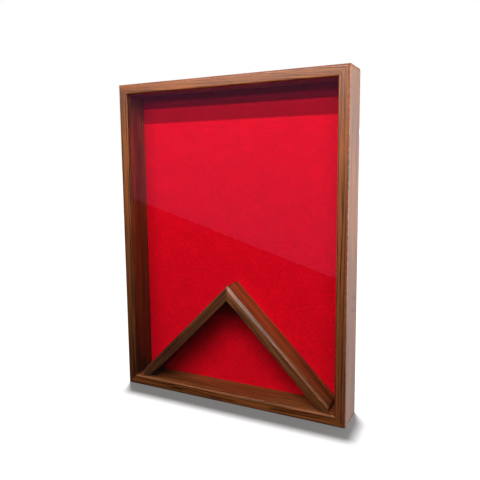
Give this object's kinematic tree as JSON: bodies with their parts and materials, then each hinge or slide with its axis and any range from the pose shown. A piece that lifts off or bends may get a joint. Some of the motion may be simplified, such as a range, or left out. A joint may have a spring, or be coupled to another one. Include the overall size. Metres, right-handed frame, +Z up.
{
  "type": "folded flag display case",
  "caption": "Portrait walnut shadow box with a glazed front, a red felt lift-out back behind turn buttons, and an inverted V divider that makes a triangular pocket for a folded flag.",
  "frame": {"origin": "centre of the flat underside of the bottom rail, half-way between its front and rear faces", "axes": "+X to the viewer's right, -Y out of the glazed front, +Z up"},
  "size_m": [0.457, 0.075, 0.61],
  "materials": {
    "walnut": "satin lacquered walnut",
    "beech": "bare",
    "pane_glass": "clear, polished",
    "red_felt": "matt pressed wool felt",
    "fibreboard": "matt",
    "plywood": "sanded, unfinished",
    "nickel": "nickel plated",
    "zinc_screw": "bright zinc plated",
    "black_rubber": "matt"
  },
  "bodies": {
    "case": {"rail_left": "walnut", "rail_right": "walnut", "rail_top": "walnut", "rail_bottom": "walnut", "corner_biscuits": "beech", "glazing_pane": "pane_glass", "divider_left": "walnut", "divider_right": "walnut", "divider_dowels": "beech", "divider_screws": "zinc_screw", "turn_button_screws": "zinc_screw", "hanger_strap_left": "nickel", "hanger_strap_right": "nickel", "hanger_screws": "zinc_screw", "wall_bumpers": "black_rubber"},
    "back": {"felt_lining": "red_felt", "pin_board": "fibreboard", "back_panel": "plywood"},
    "button_left_upper": {"turn_button_left_upper": "nickel"},
    "button_left_lower": {"turn_button_left_lower": "nickel"},
    "button_right_upper": {"turn_button_right_upper": "nickel"},
    "button_right_lower": {"turn_button_right_lower": "nickel"},
    "button_top": {"turn_button_top": "nickel"},
    "button_bottom": {"turn_button_bottom": "nickel"},
    "ring_left": {"hanger_ring_left": "nickel"},
    "ring_right": {"hanger_ring_right": "nickel"}
  },
  "joints": [
    {"name": "back_lift_out", "type": "slide", "parent": "case", "child": "back", "axis": [0, 1, 0], "range_m": [0, 0.06]},
    {"name": "button_left_upper_turn", "type": "hinge", "parent": "case", "child": "button_left_upper", "pos_m": [-0.22225, 0.0361, 0.3782], "axis": [0, -1, 0], "range_deg": [0, 90]},
    {"name": "button_left_lower_turn", "type": "hinge", "parent": "case", "child": "button_left_lower", "pos_m": [-0.22225, 0.0361, 0.1525], "axis": [0, -1, 0], "range_deg": [0, 90]},
    {"name": "button_right_upper_turn", "type": "hinge", "parent": "case", "child": "button_right_upper", "pos_m": [0.22225, 0.0361, 0.3782], "axis": [0, 1, 0], "range_deg": [0, 90]},
    {"name": "button_right_lower_turn", "type": "hinge", "parent": "case", "child": "button_right_lower", "pos_m": [0.22225, 0.0361, 0.1525], "axis": [0, 1, 0], "range_deg": [0, 90]},
    {"name": "button_top_turn", "type": "hinge", "parent": "case", "child": "button_top", "pos_m": [-0.013, 0.0361, 0.60375], "axis": [0, 1, 0], "range_deg": [0, 90]},
    {"name": "button_bottom_turn", "type": "hinge", "parent": "case", "child": "button_bottom", "pos_m": [-0.013, 0.0361, 0.00625], "axis": [0, -1, 0], "range_deg": [0, 90]},
    {"name": "ring_left_swing", "type": "hinge", "parent": "case", "child": "ring_left", "pos_m": [-0.22225, 0.0377, 0.51], "axis": [1, 0, 0], "range_deg": [0, 180]},
    {"name": "ring_right_swing", "type": "hinge", "parent": "case", "child": "ring_right", "pos_m": [0.22225, 0.0377, 0.51], "axis": [1, 0, 0], "range_deg": [0, 180]}
  ]
}
